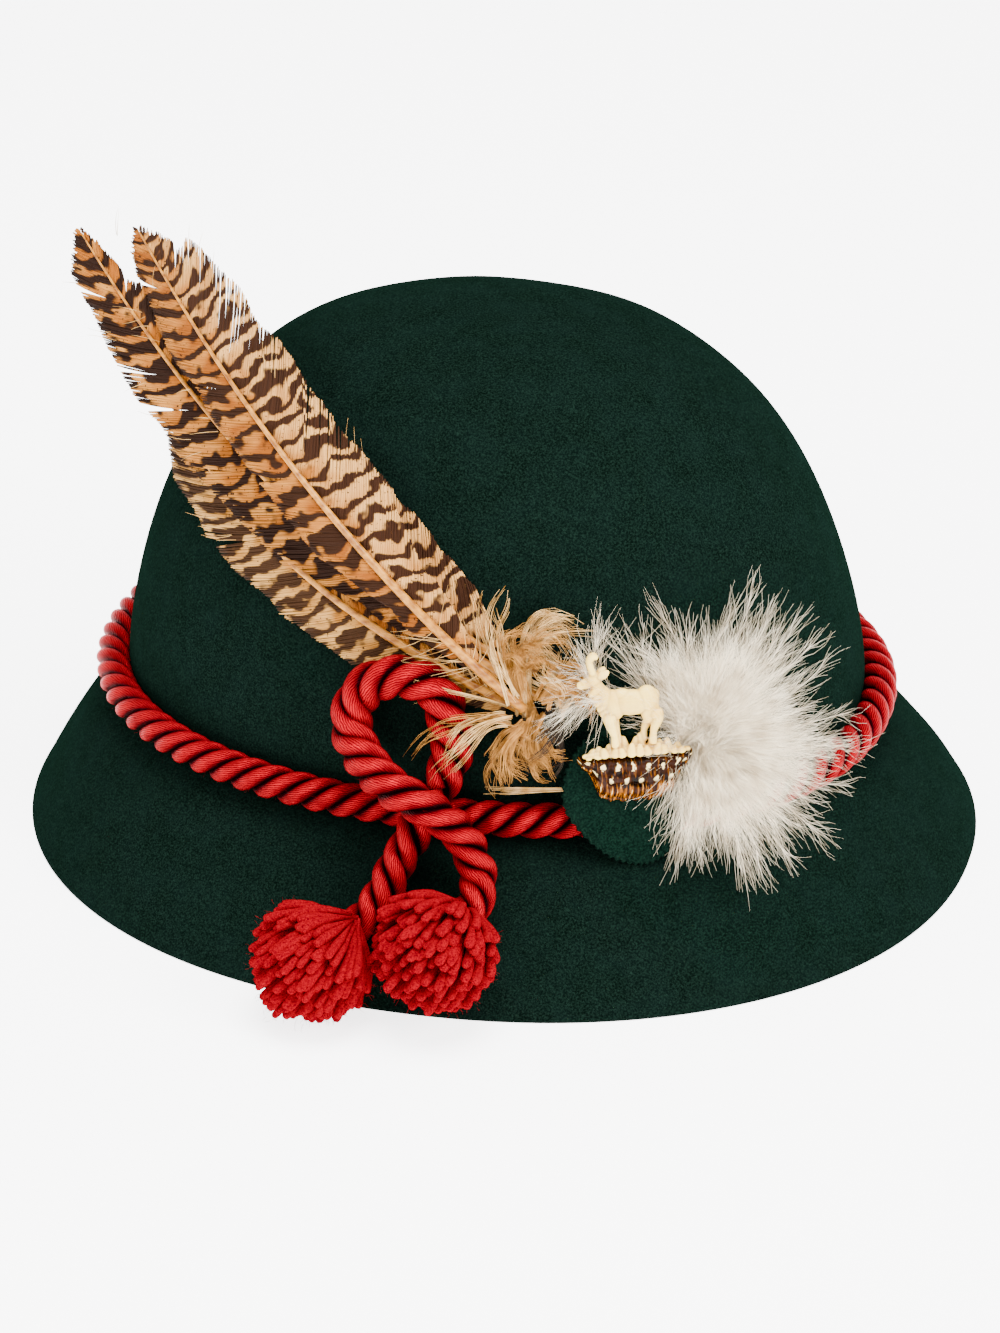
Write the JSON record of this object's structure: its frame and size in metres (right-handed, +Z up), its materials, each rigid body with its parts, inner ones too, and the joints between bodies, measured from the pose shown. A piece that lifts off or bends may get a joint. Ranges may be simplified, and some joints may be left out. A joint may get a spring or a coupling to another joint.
{
  "type": "tyrolean hat",
  "caption": "Felt hat with a rounded crown and a sloping brim, trimmed with a twisted cord, pompoms, barred feathers, down tufts and a carved pin.",
  "frame": {"origin": "middle of the hat's box on the surface that the brim edge rests on", "axes": "+X to the front of the hat, +Z up out of the crown, -Y out of the side that carries the trim"},
  "size_m": [0.269, 0.2552, 0.1667],
  "materials": {
    "green_felt": "pressed wool felt with a short nap",
    "leaf_felt": "thin wool felt with a pinked edge",
    "red_cord": "satin thread twisted to a cord of three strands",
    "red_wool": "matte wool yarn",
    "barred_feather": "natural barred feather",
    "tan_down": "natural down",
    "white_down": "fluffy natural down",
    "ivory_resin": "moulded resin with a soft gloss",
    "brown_resin": "glossy moulded resin with golden streaks"
  },
  "bodies": {
    "root": {"felt_body": "green_felt", "cord_band": "red_cord", "bow_loop": "red_cord", "tail_left": "red_cord", "pompom_left": "red_wool", "pompom_right": "red_wool", "feather_front": "barred_feather", "feather_back": "barred_feather", "feather_low": "barred_feather", "feather_short": "barred_feather", "down_tuft": "tan_down", "white_tuft": "white_down", "felt_leaf": "leaf_felt", "chamois": "ivory_resin", "pin_base": "brown_resin"}
  },
  "joints": []
}
